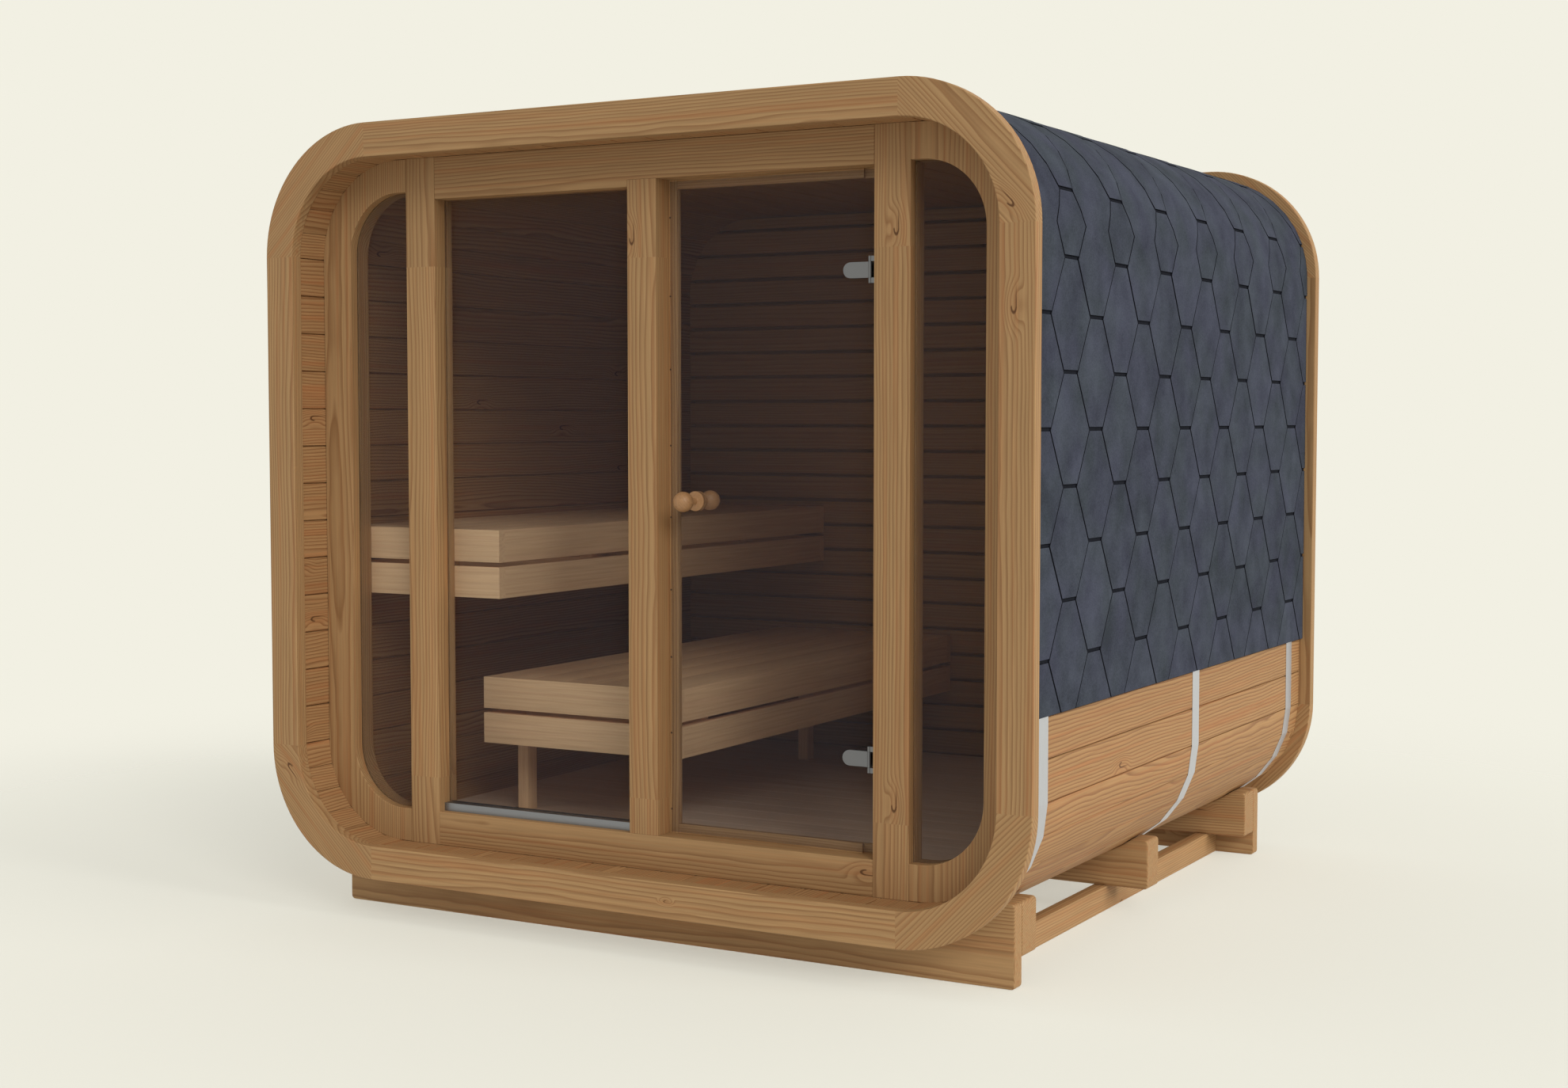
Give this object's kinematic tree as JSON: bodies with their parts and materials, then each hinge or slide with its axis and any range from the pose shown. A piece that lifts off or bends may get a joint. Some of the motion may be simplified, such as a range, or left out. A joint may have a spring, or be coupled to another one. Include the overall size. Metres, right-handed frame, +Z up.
{
  "type": "outdoor sauna cabin",
  "caption": "Rounded square timber sauna cabin on a beam base, with a shingled roof, a recessed glazed front wall, a hinged glass door and benches inside.",
  "frame": {"origin": "on the ground, under the middle of the cabin's outline", "axes": "+X to the right seen from the front, +Y into the cabin from the door side, +Z up"},
  "size_m": [2.3, 2.29, 2.166],
  "materials": {
    "glulam": "planed and oiled softwood, glued from boards",
    "staves": "planed and oiled pine, warm",
    "interior_wood": "planed pale hardwood, untreated",
    "shingle": "mineral-grained bitumen felt, blue-grey, matt",
    "strap": "bright rolled stainless band",
    "sill": "extruded, natural anodised",
    "tinted_glass": "toughened, bronze tinted through",
    "hinge": "satin cast",
    "knob": "turned and lacquered"
  },
  "bodies": {
    "cabin": {"back_ring": "glulam", "back_wall": "staves", "bottom_left_corner_staves": "staves", "bottom_rail": "glulam", "bottom_right_corner_staves": "staves", "far_bench_leg": "interior_wood", "fixed_pane": "tinted_glass", "floor_boards": "interior_wood", "floor_staves": "staves", "front_base_beam": "glulam", "front_cradle": "glulam", "front_ring": "glulam", "front_strap": "strap", "left_base_rail": "glulam", "left_post": "glulam", "left_side_frame": "glulam", "left_side_pane": "tinted_glass", "left_wall_staves": "staves", "lower_bench_frame": "interior_wood", "lower_bench_seat": "interior_wood", "lower_hinge_leaf": "hinge", "middle_cradle": "glulam", "middle_post": "glulam", "middle_strap": "strap", "near_bench_leg": "interior_wood", "rear_base_beam": "glulam", "rear_cradle": "glulam", "rear_strap": "strap", "right_base_rail": "glulam", "right_post": "glulam", "right_side_frame": "glulam", "right_side_pane": "tinted_glass", "right_wall_staves": "staves", "roof_staves": "staves", "shingle_cover": "shingle", "top_left_corner_staves": "staves", "top_rail": "glulam", "top_right_corner_staves": "staves", "upper_bench_frame": "interior_wood", "upper_bench_seat": "interior_wood", "upper_hinge_leaf": "hinge", "window_sill_profile": "sill"},
    "door": {"door_pane": "tinted_glass", "door_knob": "knob", "upper_hinge_clamp": "hinge", "lower_hinge_clamp": "hinge"}
  },
  "joints": [
    {"name": "door_hinge", "type": "hinge", "parent": "cabin", "child": "door", "pos_m": [0.6415, -0.973, 1.133], "axis": [0, 0, 1], "range_deg": [0, 100]}
  ]
}
